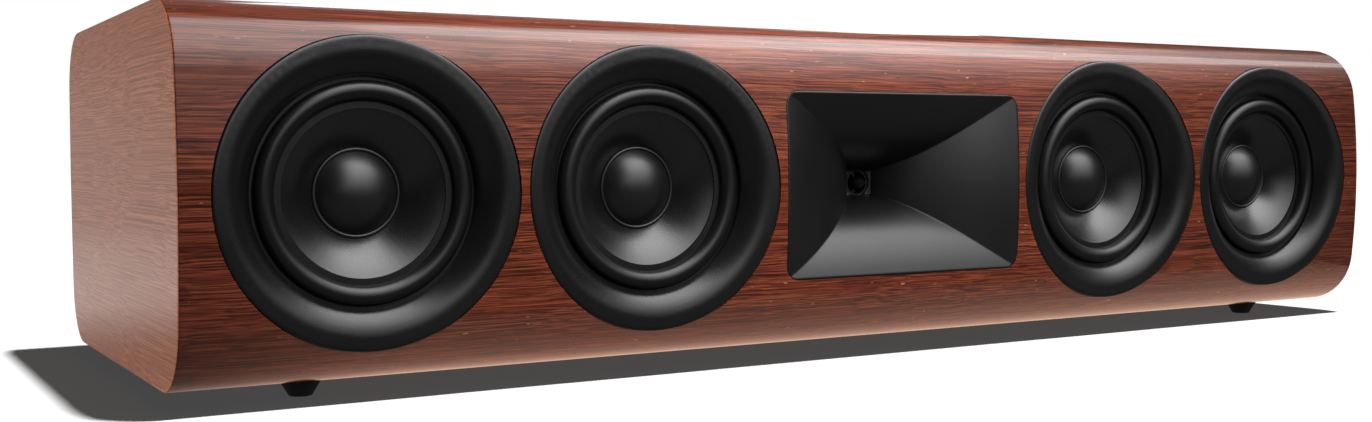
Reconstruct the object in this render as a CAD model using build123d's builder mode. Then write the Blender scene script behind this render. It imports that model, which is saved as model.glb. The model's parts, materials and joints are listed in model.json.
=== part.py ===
from build123d import *
import math
import os

# Center channel speaker: a long veneered cabinet with a crowned front, four woofers and a horn.
# Millimetres, +Z up, front towards -Y. The origin is on the floor, under the middle of the cabinet.

# Cabinet
cabinet_depth = 315.0
end_margin = 15.8
end_clear = 0.8
edge_margin = 17.25
front_crown_radius = 556.0
back_crown_radius = 1100.0
front_corner_radius = 40.0
back_corner_radius = 36.0
wall = 20.0
baffle = 28.0
cavity_corner_radius = 6.0
edge_round = 1.2
glue_gap = 0.2
fit_gap = 0.3
pilot_gap = 0.1

# Braces inside the cabinet
brace_thickness = 15.0
brace_rim = 26.0
brace_window_radius = 20.0

# Feet
foot_height = 8.3
foot_top_radius = 11.0
foot_tip_radius = 6.0
foot_edge_round = 0.8
foot_end_inset = 71.0
foot_front_inset = 49.4
foot_screw_radius = 1.8
foot_screw_head_radius = 3.8
foot_screw_head_height = 2.6
foot_screw_recess = 4.0
foot_screw_grip = 14.0

# Row of drivers on the front
ring_radius = 80.0
ring_gap = 5.1
horn_ring_gap = 5.7

# Trim ring
ring_inner_radius = 59.6
ring_inner_depth = 11.5
ring_lip = 5.0
ring_lip_drop = 1.2
ring_lip_pull = 1.0
ring_inner_pull = 1.0
ring_inner_slope = 58.0
ring_edge_thickness = 2.4
ring_sections = 6
ring_sink = 0.1

# Surround
ring_reveal = 2.0
roll_width = 10.8
roll_rise = 5.4
rubber = 1.0
surround_glue_width = 3.4
surround_seat_depth = 15.4

# Cone, dust cap and voice coil
cone_rim_angle = 23.0
cone_cap_angle = 45.0
cone_thickness = 0.9
cap_radius = 23.5
cap_lip = 1.9
cap_lip_rise = 0.7
cap_rise = 9.0
cap_thickness = 0.8
coil_radius = 16.0
former_thickness = 0.5
winding_thickness = 1.0
winding_length = 9.0

# Basket
flange_thickness = 4.0
flange_inset = 1.5
basket_wall = 3.4
basket_depth = 33.6
basket_plate = 3.0
basket_plate_radius = 43.5
basket_windows = 6
window_width = 34.0
window_margin = 6.0
spider_height = 9.0
spider_ledge = 4.0
spider_thickness = 0.6
spider_waves = 3
spider_wave_height = 2.0
basket_clearance = 1.0

# Woofer motor
top_plate_thickness = 6.0
top_plate_radius = 42.0
magnet_radius = 46.0
magnet_bore_radius = 24.0
magnet_thickness = 18.0
yoke_thickness = 6.0
yoke_radius = 43.0
magnet_gap = 0.7

# Woofer screws
woofer_screws_each = 4
screw_radius = 2.0
screw_head_radius = 4.0
screw_length = 20.0
screw_hole_gap = 0.3

# Horn
horn_width = 180.8
horn_height = 111.6
horn_corner_radius = 9.0
horn_lip = 1.0
horn_wall = 3.0
horn_depth = 53.0
horn_throat_width = 20.0
horn_throat_height = 15.0
throat_radius = 9.0
side_mouth_angle = 10.8
side_mouth_pull = 40.0
side_throat_angle = 62.0
side_throat_pull = 26.0
top_mouth_angle = 15.4
top_mouth_pull = 23.7
top_throat_angle = 77.6
top_throat_pull = 25.6
horn_flange = 8.0
horn_flange_thickness = 5.0
horn_screw_radius = 1.8
horn_screw_head_radius = 3.4
horn_screw_head_height = 2.4
horn_screw_grip = 10.0
horn_screw_pitch = 90.0
horn_screw_height = 96.0
horn_arc = 9.0

# Compression driver
collar_radius = 34.0
collar_thickness = 6.0
driver_radius = 45.0
driver_plate = 6.0
driver_can_radius = 42.0
driver_can_length = 32.0
driver_cover_length = 14.0
driver_cover_round = 6.0
driver_cover_wall = 2.5
bolt_radius = 2.5
bolt_head_radius = 4.2
bolt_head_height = 3.0
bolt_circle = 27.0
driver_bolts_count = 4
bolt_grip = 4.0
plug_radius = 4.6
plug_ring_radius = 8.7
plug_ring_wall = 1.4
plug_length = 8.0
plug_nose = 7.0
plug_fin = 1.2
plug_fins = 3

# Ports
port_end_inset = 127.0
port_radius = 30.0
port_wall = 3.0
port_length = 130.0
port_flare = 12.0
port_flange_radius = 47.0
port_flange_thickness = 5.0
rear_inset = 0.5

# Terminal cup and binding posts
cup_width = 110.0
cup_height = 54.0
cup_depth = 31.0
cup_wall = 3.0
cup_corner_radius = 4.0
cup_flange = 10.0
cup_flange_thickness = 3.0
cup_screw_radius = 1.6
cup_screw_head_radius = 3.0
cup_screw_length = 14.0
post_pitch = 19.05
post_radius = 4.0
post_bore_radius = 2.05
post_bore_depth = 15.0
post_length = 24.0
post_collar_radius = 6.5
post_collar_height = 3.0
post_nut_width = 13.0
post_nut_height = 4.0
post_tail = 9.0
knob_radius = 8.0
knob_length = 18.0
knob_grooves = 16
knob_groove_radius = 0.8
knob_edge = 1.0
knob_fit = 0.06
knob_seat_gap = 0.3

# Crossover
board_width = 220.0
board_depth = 90.0
board_thickness = 1.6
board_setback = 60.0
board_margin = 8.0
spacer_height = 5.0
spacer_radius = 4.0
inductor_radius = 22.0
inductor_bore_radius = 9.0
inductor_height = 20.0
inductor_pitch = 60.0
capacitor_radius = 8.5
capacitor_length = 36.0
capacitor_pitch = 50.0

# Places worked out from those sizes
inner_woofer_x = horn_width / 2 + horn_ring_gap + ring_radius
outer_woofer_x = inner_woofer_x + 2 * ring_radius + ring_gap
woofer_places = {
    "outer_left": -outer_woofer_x,
    "inner_left": -inner_woofer_x,
    "inner_right": inner_woofer_x,
    "outer_right": outer_woofer_x,
}
cabinet_width = 2 * (outer_woofer_x + ring_radius + end_margin)
end_panel = end_margin - end_clear
port_offset = cabinet_width / 2 - port_end_inset
cabinet_height = 2 * (ring_radius + edge_margin)
centre_z = foot_height + cabinet_height / 2
front_y = -cabinet_depth / 2
back_y = cabinet_depth / 2
half_height = cabinet_height / 2
cavity_height = cabinet_height - 2 * wall
cavity_depth = cabinet_depth - baffle - wall
cavity_y = front_y + baffle + cavity_depth / 2
flange_seat_depth = surround_seat_depth + flange_thickness
basket_rear_depth = flange_seat_depth + basket_depth
roll_outer_radius = ring_inner_radius - ring_reveal
roll_inner_radius = roll_outer_radius - roll_width
cone_radius = roll_inner_radius - surround_glue_width
roll_mid_radius = roll_outer_radius - roll_width / 2
rim_sine = math.sin(math.radians(cone_rim_angle))
cone_curve = (cone_radius - cap_radius) / (math.sin(math.radians(cone_cap_angle)) - rim_sine)
former_radius = coil_radius + former_thickness
winding_radius = former_radius + winding_thickness
gap_radius = winding_radius + magnet_gap
pole_radius = coil_radius - magnet_gap
top_plate_back = basket_rear_depth + top_plate_thickness
magnet_back = top_plate_back + magnet_thickness
flange_radius = ring_radius - flange_inset
basket_bore_radius = roll_outer_radius + fit_gap
bowl_radius = basket_bore_radius + basket_wall + basket_clearance
baffle_hole_radius = bowl_radius + basket_clearance
screw_circle = (baffle_hole_radius + flange_radius) / 2
horn_back = horn_depth + collar_thickness / 2
cup_screw_columns = cup_width + 2 * cup_wall + cup_flange
cup_screw_rows = cup_height + 2 * cup_wall + cup_flange

# Shared planes and axes
driver_axis = Axis((0, front_y, centre_z), (0, 1, 0))
section_plane = Plane(origin=(0, front_y, centre_z), x_dir=(1, 0, 0), z_dir=(0, 0, 1))
upright_plane = Plane(origin=(0, front_y, centre_z), x_dir=(0, 0, 1), z_dir=(-1, 0, 0))
front_plane = Plane(origin=(0, front_y, centre_z), x_dir=(1, 0, 0), z_dir=(0, -1, 0))
rear_plane = Plane(origin=(0, back_y, centre_z), x_dir=(-1, 0, 0), z_dir=(0, 1, 0))
middle_plane = Plane(origin=(0, 0, centre_z), x_dir=(1, 0, 0), z_dir=(0, 0, 1))
crown_axis = Axis((0, front_y + front_crown_radius, centre_z), (1, 0, 0))


def crown_drop(radius, height):
    """Depth by which a crown of this radius has fallen back at a height from its middle."""
    return radius - math.sqrt(radius**2 - height**2)


def facing(depth):
    """Plane that faces the front, this far behind the middle of the front."""
    return front_plane.offset(-depth)


def rear_facing(depth):
    """Plane that faces the rear, this far inside the middle of the back."""
    return rear_plane.offset(-depth)


def cone_depth(radius):
    """Depth of the cone's front face at a radius: an arc that steepens towards the middle."""
    sine = rim_sine + (cone_radius - radius) / cone_curve
    return surround_seat_depth + cone_curve * (math.sqrt(1 - rim_sine**2) - math.sqrt(1 - sine**2))


def cone_back(radius):
    """Point of the cone's rear face behind the point of its front face at a radius."""
    sine = rim_sine + (cone_radius - radius) / cone_curve
    behind = cone_depth(radius) + pilot_gap + cone_thickness * math.sqrt(1 - sine**2)
    return Vector(radius + cone_thickness * sine, behind)


def flare(mouth, mouth_angle, mouth_pull, throat, throat_angle, throat_pull, thickness):
    """Four control points of one horn wall, from the mouth to the throat, moved out by a thickness."""
    mouth_way = Vector(-math.cos(math.radians(mouth_angle)), math.sin(math.radians(mouth_angle)))
    throat_way = Vector(-math.cos(math.radians(throat_angle)), math.sin(math.radians(throat_angle)))
    mouth_point = Vector(*mouth) + Vector(mouth_way.Y, -mouth_way.X) * thickness
    throat_point = Vector(*throat) + Vector(throat_way.Y, -throat_way.X) * thickness
    return [
        mouth_point,
        mouth_point + mouth_way * mouth_pull,
        throat_point - throat_way * throat_pull,
        throat_point,
    ]


def save(piece, name):
    """Label a finished piece and write it."""
    piece.label = name
    export_step(piece, f"parts/{name}.step")


def save_at_woofers(piece, name):
    """Write one copy of a woofer's piece at each woofer."""
    for place, x in woofer_places.items():
        save(piece.moved(Location((x, 0, 0))), f"{name}_{place}")


os.makedirs("parts", exist_ok=True)

# Outline of the cabinet's end: a crowned front and back, flat top and bottom, rounded corners
with BuildSketch() as end_outline:
    with BuildLine():
        front_edge = front_y + crown_drop(front_crown_radius, half_height)
        back_edge = back_y - crown_drop(back_crown_radius, half_height)
        ThreePointArc((front_edge, -half_height), (front_y, 0), (front_edge, half_height))
        Line((front_edge, half_height), (back_edge, half_height))
        ThreePointArc((back_edge, half_height), (back_y, 0), (back_edge, -half_height))
        Line((back_edge, -half_height), (front_edge, -half_height))
    make_face()
    fillet(end_outline.vertices().group_by(Axis.X)[0], front_corner_radius)
    fillet(end_outline.vertices().group_by(Axis.X)[-1], back_corner_radius)

# The whole cabinet as one block with its ends eased, which trims the shell and both end panels
with BuildPart() as envelope:
    with BuildSketch(Plane(origin=(0, 0, centre_z), x_dir=(0, 1, 0), z_dir=(1, 0, 0))):
        add(end_outline.sketch)
    extrude(amount=cabinet_width / 2, both=True)
    fillet(envelope.edges().group_by(Axis.X)[0], edge_round)
    fillet(envelope.edges().group_by(Axis.X)[-1], edge_round)

# End panel, mitred all round so that its joint lies on the cabinet's edge
with BuildPart() as right_end_panel:
    with BuildSketch(Plane(origin=(cabinet_width / 2, 0, centre_z), x_dir=(0, 1, 0), z_dir=(1, 0, 0))):
        add(end_outline.sketch)
    with BuildSketch(Plane(origin=(cabinet_width / 2 - end_panel, 0, centre_z),
                           x_dir=(0, 1, 0), z_dir=(1, 0, 0))):
        add(end_outline.sketch)
        offset(amount=-end_panel)
    loft(ruled=True)
    add(envelope.part, mode=Mode.INTERSECT)
with BuildPart() as left_end_panel:
    mirror(right_end_panel.part, about=Plane.YZ)

# Cabinet shell with the cut-outs for every part that it carries
with BuildPart() as cabinet_shell:
    add(envelope.part)
    with BuildSketch(Plane(origin=(0, cavity_y, centre_z), x_dir=(0, 1, 0), z_dir=(1, 0, 0))):
        RectangleRounded(cavity_depth, cavity_height, cavity_corner_radius)
    extrude(amount=cabinet_width / 2, both=True, mode=Mode.SUBTRACT)
    add(right_end_panel.part, mode=Mode.SUBTRACT)
    add(left_end_panel.part, mode=Mode.SUBTRACT)
    with BuildSketch(facing(flange_seat_depth)):
        with Locations(*[(x, 0) for x in woofer_places.values()]):
            Circle(ring_radius + fit_gap)
    extrude(amount=2 * flange_seat_depth, mode=Mode.SUBTRACT)
    with BuildSketch(facing(flange_seat_depth)):
        with Locations(*[(x, 0) for x in woofer_places.values()]):
            Circle(baffle_hole_radius)
    extrude(amount=-2 * (baffle - flange_seat_depth), mode=Mode.SUBTRACT)
    with BuildSketch(facing(flange_seat_depth)):
        with Locations(*[(x, 0) for x in woofer_places.values()]):
            with PolarLocations(screw_circle, woofer_screws_each, start_angle=45):
                Circle(screw_radius + pilot_gap)
    extrude(amount=-2 * (baffle - flange_seat_depth), mode=Mode.SUBTRACT)
    with BuildSketch(facing(baffle)):
        RectangleRounded(horn_width + 2 * fit_gap, horn_height + 2 * fit_gap, horn_corner_radius + fit_gap)
    extrude(amount=2 * baffle, mode=Mode.SUBTRACT)
    with BuildSketch(facing(baffle)):
        with GridLocations(horn_screw_pitch, horn_height + horn_flange, 2, 2):
            Circle(horn_screw_radius + pilot_gap)
        with GridLocations(horn_width + horn_flange, horn_screw_height, 2, 2):
            Circle(horn_screw_radius + pilot_gap)
    extrude(amount=horn_screw_grip + pilot_gap, mode=Mode.SUBTRACT)
    with BuildSketch(rear_facing(rear_inset + port_flange_thickness)):
        with Locations((port_offset, 0), (-port_offset, 0)):
            Circle(port_flange_radius + fit_gap)
    extrude(amount=2 * port_flange_thickness, mode=Mode.SUBTRACT)
    with BuildSketch(rear_facing(wall)):
        with Locations((port_offset, 0), (-port_offset, 0)):
            Circle(port_radius + port_wall + fit_gap)
    extrude(amount=wall, both=True, mode=Mode.SUBTRACT)
    with BuildSketch(rear_facing(rear_inset + cup_flange_thickness)):
        RectangleRounded(
            cup_width + 2 * (cup_wall + cup_flange + fit_gap),
            cup_height + 2 * (cup_wall + cup_flange + fit_gap),
            cup_corner_radius + cup_wall + fit_gap,
        )
    extrude(amount=2 * cup_flange_thickness, mode=Mode.SUBTRACT)
    with BuildSketch(rear_facing(wall)):
        RectangleRounded(
            cup_width + 2 * (cup_wall + fit_gap),
            cup_height + 2 * (cup_wall + fit_gap),
            cup_corner_radius + cup_wall + fit_gap,
        )
    extrude(amount=wall, both=True, mode=Mode.SUBTRACT)
    with BuildSketch(rear_facing(0)):
        with GridLocations(cup_screw_columns, cup_screw_rows, 2, 2):
            Circle(cup_screw_radius + pilot_gap)
    extrude(amount=-(rear_inset + cup_screw_length + pilot_gap), mode=Mode.SUBTRACT)
    with BuildSketch(Plane.XY.offset(foot_height)):
        with GridLocations(cabinet_width - 2 * foot_end_inset, cabinet_depth - 2 * foot_front_inset, 2, 2):
            Circle(foot_screw_radius + pilot_gap)
    extrude(amount=foot_screw_grip + pilot_gap, mode=Mode.SUBTRACT)

# Window brace between the outer and the inner woofer of each pair
with BuildPart() as brace_right:
    with BuildSketch(Plane(origin=((inner_woofer_x + outer_woofer_x) / 2, cavity_y, centre_z),
                           x_dir=(0, 1, 0), z_dir=(1, 0, 0))):
        RectangleRounded(cavity_depth - 2 * glue_gap, cavity_height - 2 * glue_gap, cavity_corner_radius)
        RectangleRounded(cavity_depth - 2 * brace_rim, cavity_height - 2 * brace_rim,
                         brace_window_radius, mode=Mode.SUBTRACT)
    extrude(amount=brace_thickness / 2, both=True)
with BuildPart() as brace_left:
    mirror(brace_right.part, about=Plane.YZ)

# Foot: a tapered moulding with a sunk screw
with BuildPart() as foot:
    with BuildSketch(Plane.XZ):
        Polygon(
            (0, 0), (foot_tip_radius, 0), (foot_top_radius, foot_height), (0, foot_height), align=None
        )
    revolve(axis=Axis.Z)
    fillet(foot.edges().group_by(Axis.Z)[0], foot_edge_round)
    with Locations(Plane.XY.rotated((180, 0, 0))):
        CounterBoreHole(
            radius=foot_screw_radius + pilot_gap,
            counter_bore_radius=foot_screw_head_radius + pilot_gap,
            counter_bore_depth=foot_screw_recess,
        )
foot_rows = {"front": front_y + foot_front_inset, "rear": back_y - foot_front_inset}
foot_columns = {"left": foot_end_inset - cabinet_width / 2, "right": cabinet_width / 2 - foot_end_inset}

with BuildPart() as foot_screws:
    with BuildSketch(Plane.XY.offset(foot_screw_recess - foot_screw_head_height)):
        with GridLocations(cabinet_width - 2 * foot_end_inset, cabinet_depth - 2 * foot_front_inset, 2, 2):
            Circle(foot_screw_head_radius)
    extrude(amount=foot_screw_head_height)
    with BuildSketch(Plane.XY.offset(foot_screw_recess)):
        with GridLocations(cabinet_width - 2 * foot_end_inset, cabinet_depth - 2 * foot_front_inset, 2, 2):
            Circle(foot_screw_radius)
    extrude(amount=foot_height - foot_screw_recess + foot_screw_grip)

# Trim ring: its lip follows the crown of the front and rolls in to a flat inner edge over the surround
with BuildPart() as trim_ring:
    for section in range(ring_sections + 1):
        turn = math.pi * (section / ring_sections - 0.5)
        ring_plane = Plane(
            origin=(0, front_y, centre_z),
            x_dir=(math.cos(turn), 0, math.sin(turn)),
            z_dir=(-math.sin(turn), 0, math.cos(turn)),
        )
        edge_drop = crown_drop(front_crown_radius, ring_radius * math.sin(turn)) + ring_sink + ring_lip_drop
        lip_radius = ring_radius - ring_lip
        lip_height = lip_radius * math.sin(turn)
        lip_drop = crown_drop(front_crown_radius, lip_height) + ring_sink
        lip_fall = math.sin(turn) * lip_height / math.sqrt(front_crown_radius**2 - lip_height**2)
        lip_way = (-1, -lip_fall)
        step_radius = roll_outer_radius + surround_glue_width + fit_gap
        under_depth = ring_inner_depth + ring_edge_thickness
        inner_way = (-math.cos(math.radians(ring_inner_slope)), math.sin(math.radians(ring_inner_slope)))
        with BuildSketch(ring_plane):
            with BuildLine():
                Line((ring_radius, surround_seat_depth), (ring_radius, edge_drop))
                Spline((ring_radius, edge_drop), (lip_radius, lip_drop), tangents=((0, -1), lip_way))
                Spline(
                    (lip_radius, lip_drop),
                    (ring_inner_radius, ring_inner_depth),
                    tangents=(lip_way, inner_way),
                    tangent_scalars=(ring_lip_pull, ring_inner_pull),
                )
                Polyline(
                    (ring_inner_radius, ring_inner_depth),
                    (ring_inner_radius, under_depth),
                    (step_radius, under_depth),
                    (step_radius, surround_seat_depth),
                    (ring_radius, surround_seat_depth),
                )
            make_face()
    loft()
    mirror(about=Plane.YZ)

# Basket: a cast frame with a flange, a windowed bowl and a rear plate for the motor
with BuildPart() as basket:
    ledge_depth = basket_rear_depth - spider_height
    bowl_tail_radius = basket_plate_radius - basket_wall
    spider_ledge_radius = bowl_tail_radius - spider_ledge
    with BuildSketch(section_plane):
        with BuildLine():
            Polyline(
                (basket_bore_radius, surround_seat_depth),
                (flange_radius, surround_seat_depth),
                (flange_radius, flange_seat_depth),
                (bowl_radius, flange_seat_depth),
                (basket_plate_radius, ledge_depth + spider_ledge),
                (basket_plate_radius, basket_rear_depth),
                (gap_radius + basket_clearance, basket_rear_depth),
                (gap_radius + basket_clearance, basket_rear_depth - basket_plate),
                (spider_ledge_radius, basket_rear_depth - basket_plate),
                (spider_ledge_radius, ledge_depth),
                (bowl_tail_radius, ledge_depth),
                (basket_bore_radius, flange_seat_depth),
                close=True,
            )
        make_face()
    revolve(axis=driver_axis)
    with BuildSketch(facing(ledge_depth - window_margin / 2)):
        with PolarLocations((bowl_radius + bowl_tail_radius) / 2, basket_windows):
            Rectangle(bowl_radius - bowl_tail_radius + 2 * basket_wall, window_width)
    extrude(amount=ledge_depth - flange_seat_depth - 1.5 * window_margin, mode=Mode.SUBTRACT)
    with Locations(facing(surround_seat_depth)):
        with PolarLocations(screw_circle, woofer_screws_each, start_angle=45):
            CounterSinkHole(
                radius=screw_radius + screw_hole_gap,
                counter_sink_radius=screw_head_radius + screw_hole_gap,
                counter_sink_angle=90,
            )

# Surround: a half roll of rubber between two glued lands
with BuildPart() as surround:
    land_front = surround_seat_depth - rubber
    with BuildSketch(section_plane):
        with BuildLine():
            Line((roll_outer_radius + surround_glue_width, surround_seat_depth),
                 (roll_outer_radius + surround_glue_width, land_front))
            Line((roll_outer_radius + surround_glue_width, land_front), (roll_outer_radius, land_front))
            ThreePointArc((roll_outer_radius, land_front), (roll_mid_radius, land_front - roll_rise),
                          (roll_inner_radius, land_front))
            Line((roll_inner_radius, land_front), (cone_radius, land_front))
            Line((cone_radius, land_front), (cone_radius, surround_seat_depth))
            Line((cone_radius, surround_seat_depth), (roll_inner_radius + rubber, surround_seat_depth))
            ThreePointArc((roll_inner_radius + rubber, surround_seat_depth),
                          (roll_mid_radius, land_front - roll_rise + rubber),
                          (roll_outer_radius - rubber, surround_seat_depth))
            Line((roll_outer_radius - rubber, surround_seat_depth),
                 (roll_outer_radius + surround_glue_width, surround_seat_depth))
        make_face()
    revolve(axis=driver_axis)

# Cone: a rim under the surround's inner land and a flared wall down to the former
with BuildPart() as cone:
    neck_radius = former_radius + pilot_gap
    neck_sine = (rim_sine + (cone_radius - neck_radius) / cone_curve) / (1 - cone_thickness / cone_curve)
    neck_start = neck_radius - cone_thickness * neck_sine
    rim_front = surround_seat_depth + pilot_gap
    rim_back = rim_front + cone_thickness
    face_radii = (cone_radius, (cone_radius + neck_radius) / 2, neck_radius)
    back_radii = (neck_start, (cone_radius + neck_start) / 2, cone_radius)
    with BuildSketch(section_plane):
        with BuildLine():
            Line((roll_inner_radius, rim_front), (cone_radius, rim_front))
            ThreePointArc(*[(r, cone_depth(r) + pilot_gap) for r in face_radii])
            Line((neck_radius, cone_depth(neck_radius) + pilot_gap), cone_back(neck_start))
            ThreePointArc(*[cone_back(r) for r in back_radii])
            Polyline(
                cone_back(cone_radius),
                (roll_inner_radius, rim_back),
                (roll_inner_radius, rim_front),
            )
        make_face()
    revolve(axis=driver_axis)

# Dust cap: a dome inside a raised lip that sits on the cone
with BuildPart() as dust_cap:
    dome_rim = cap_radius - cap_lip
    dome_depth = cone_depth(cap_radius)
    dome_radius = (dome_rim**2 + cap_rise**2) / (2 * cap_rise)
    dome_centre = Vector(0, dome_depth - cap_rise + dome_radius)
    outside = [
        Vector(r, dome_depth - cap_rise + crown_drop(dome_radius, r)) for r in (0, dome_rim / 2, dome_rim)
    ]
    shrink = 1 - cap_thickness / dome_radius
    inside = [dome_centre + (point - dome_centre) * shrink for point in outside]
    with BuildSketch(section_plane):
        with BuildLine():
            ThreePointArc(*outside)
            Polyline(
                outside[-1],
                (dome_rim + cap_lip / 2, dome_depth - cap_lip_rise),
                (cap_radius, dome_depth - cap_lip_rise / 2),
                (cap_radius, dome_depth),
                (dome_rim, cone_depth(dome_rim)),
                inside[-1],
            )
            ThreePointArc(*reversed(inside))
            Line(inside[0], outside[0])
        make_face()
    revolve(axis=driver_axis)

# Voice coil: the former's tube with its winding in the magnet's gap
with BuildPart() as voice_coil:
    winding_front = basket_rear_depth + (top_plate_thickness - winding_length) / 2
    with BuildSketch(section_plane):
        with BuildLine():
            Polyline(
                (coil_radius, cone_depth(former_radius)),
                (former_radius, cone_depth(former_radius)),
                (former_radius, winding_front),
                (winding_radius, winding_front),
                (winding_radius, winding_front + winding_length),
                (coil_radius, winding_front + winding_length),
                close=True,
            )
        make_face()
    revolve(axis=driver_axis)

# Spider: a corrugated disc from the basket's ledge to the former
with BuildPart() as spider:
    spider_inner = former_radius + pilot_gap
    spider_outer = bowl_tail_radius - pilot_gap
    spider_flat = spider_ledge_radius
    wave_step = (spider_flat - spider_inner) / (2 * spider_waves + 1)
    wave_points = [
        (spider_flat - wave_step * i, -spider_wave_height * (i % 2)) for i in range(2 * spider_waves + 1)
    ]
    wave_points = [(spider_outer, 0)] + wave_points + [(spider_inner, 0)]
    with BuildSketch(section_plane):
        with BuildLine():
            back = [(r, ledge_depth + d) for r, d in wave_points]
            front = [(r, d - spider_thickness) for r, d in reversed(back)]
            Polyline(*back, *front, close=True)
        make_face()
    revolve(axis=driver_axis)

# Motor: top plate, ferrite ring and yoke with its pole
with BuildPart() as top_plate:
    with BuildSketch(facing(basket_rear_depth)):
        Circle(top_plate_radius)
        Circle(gap_radius, mode=Mode.SUBTRACT)
    extrude(amount=-top_plate_thickness)
with BuildPart() as magnet:
    with BuildSketch(facing(top_plate_back)):
        Circle(magnet_radius)
        Circle(magnet_bore_radius, mode=Mode.SUBTRACT)
    extrude(amount=-magnet_thickness)
with BuildPart() as yoke:
    with BuildSketch(facing(magnet_back)):
        Circle(yoke_radius)
    extrude(amount=-yoke_thickness)
    with BuildSketch(facing(basket_rear_depth)):
        Circle(pole_radius)
    extrude(amount=-(top_plate_thickness + magnet_thickness))

woofer_spots = [Location((x, 0, 0)) for x in woofer_places.values()]
with BuildPart() as woofer_top_plates:
    with Locations(*woofer_spots):
        add(top_plate.part)
with BuildPart() as woofer_magnets:
    with Locations(*woofer_spots):
        add(magnet.part)
with BuildPart() as woofer_yokes:
    with Locations(*woofer_spots):
        add(yoke.part)

# Countersunk screws under each trim ring
with BuildPart() as woofer_screws:
    head_height = screw_head_radius - screw_radius
    with BuildSketch(facing(surround_seat_depth)):
        with Locations(*[(x, 0) for x in woofer_places.values()]):
            with PolarLocations(screw_circle, woofer_screws_each, start_angle=45):
                Circle(screw_radius)
    extrude(amount=-screw_length)
    with Locations(facing(surround_seat_depth + head_height / 2)):
        with Locations(*[(x, 0) for x in woofer_places.values()]):
            with PolarLocations(screw_circle, woofer_screws_each, start_angle=45):
                Cone(bottom_radius=screw_radius, top_radius=screw_head_radius, height=head_height)

# Horn: curved side walls that follow the crown, crossed by curved top and bottom walls


def horn_volume(thickness):
    """Space between the horn's four walls, moved out by a thickness."""
    side = flare((horn_width / 2 - horn_lip, 0), side_mouth_angle, side_mouth_pull,
                 (horn_throat_width / 2, horn_depth), side_throat_angle, side_throat_pull, thickness)
    top_mouth = horn_height / 2 - horn_lip
    top = flare((top_mouth, crown_drop(front_crown_radius, top_mouth)), top_mouth_angle, top_mouth_pull,
                (horn_throat_height / 2, horn_depth), top_throat_angle, top_throat_pull, thickness)
    with BuildPart() as volume:
        with BuildSketch(section_plane):
            with BuildLine():
                Bezier(*side)
                Polyline(side[-1], (0, side[-1].Y), (0, -baffle), (side[0].X, -baffle), side[0])
            make_face()
            mirror(about=Plane.YZ)
        revolve(axis=crown_axis, revolution_arc=horn_arc)
        mirror(about=middle_plane)
        with BuildSketch(upright_plane):
            with BuildLine():
                Bezier(*top)
                Polyline(top[-1], (0, top[-1].Y), (0, -baffle), (top[0].X, -baffle), top[0])
            make_face()
            mirror(about=Plane.YZ)
        extrude(amount=horn_width, both=True, mode=Mode.INTERSECT)
    return volume.part


with BuildPart() as horn:
    horn_flange_back = baffle + horn_flange_thickness
    add(horn_volume(horn_wall))
    with BuildSketch(facing(horn_back)):
        RectangleRounded(horn_width, horn_height, horn_corner_radius)
    extrude(amount=horn_back + baffle, mode=Mode.INTERSECT)
    with BuildSketch(facing(horn_flange_back)):
        RectangleRounded(horn_width, horn_height, horn_corner_radius)
        RectangleRounded(horn_width - 2 * horn_wall, horn_height - 2 * horn_wall,
                         horn_corner_radius - horn_wall, mode=Mode.SUBTRACT)
    extrude(amount=2 * baffle)
    with BuildSketch(facing(horn_flange_back)):
        RectangleRounded(horn_width + 2 * horn_flange, horn_height + 2 * horn_flange,
                         horn_corner_radius + horn_flange)
        RectangleRounded(horn_width - 2 * horn_wall, horn_height - 2 * horn_wall,
                         horn_corner_radius - horn_wall, mode=Mode.SUBTRACT)
    extrude(amount=horn_flange_thickness)
    with BuildSketch(facing(horn_back)):
        Circle(collar_radius)
    extrude(amount=collar_thickness)
    add(horn_volume(0), mode=Mode.SUBTRACT)
    with BuildSketch(facing(horn_back)):
        Circle(throat_radius)
    extrude(amount=collar_thickness, mode=Mode.SUBTRACT)
    with BuildSketch(facing(horn_back)):
        with PolarLocations(bolt_circle, driver_bolts_count, start_angle=45):
            Circle(bolt_radius + pilot_gap)
    extrude(amount=collar_thickness, mode=Mode.SUBTRACT)
    with BuildSketch(facing(horn_flange_back)):
        with GridLocations(horn_screw_pitch, horn_height + horn_flange, 2, 2):
            Circle(horn_screw_radius + pilot_gap)
        with GridLocations(horn_width + horn_flange, horn_screw_height, 2, 2):
            Circle(horn_screw_radius + pilot_gap)
    extrude(amount=horn_flange_thickness, mode=Mode.SUBTRACT)
    with BuildSketch(upright_plane):
        with BuildLine():
            crown_edge = crown_drop(front_crown_radius, horn_height)
            ThreePointArc((-horn_height, crown_edge), (0, 0), (horn_height, crown_edge))
            Polyline((horn_height, crown_edge), (horn_height, cabinet_depth),
                     (-horn_height, cabinet_depth), (-horn_height, crown_edge))
        make_face()
    extrude(amount=horn_width, both=True, mode=Mode.INTERSECT)

with BuildPart() as horn_screws:
    with BuildSketch(facing(horn_flange_back)):
        with GridLocations(horn_screw_pitch, horn_height + horn_flange, 2, 2):
            Circle(horn_screw_head_radius)
        with GridLocations(horn_width + horn_flange, horn_screw_height, 2, 2):
            Circle(horn_screw_head_radius)
    extrude(amount=-horn_screw_head_height)
    with BuildSketch(facing(horn_flange_back)):
        with GridLocations(horn_screw_pitch, horn_height + horn_flange, 2, 2):
            Circle(horn_screw_radius)
        with GridLocations(horn_width + horn_flange, horn_screw_height, 2, 2):
            Circle(horn_screw_radius)
    extrude(amount=horn_flange_thickness + horn_screw_grip)

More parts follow.
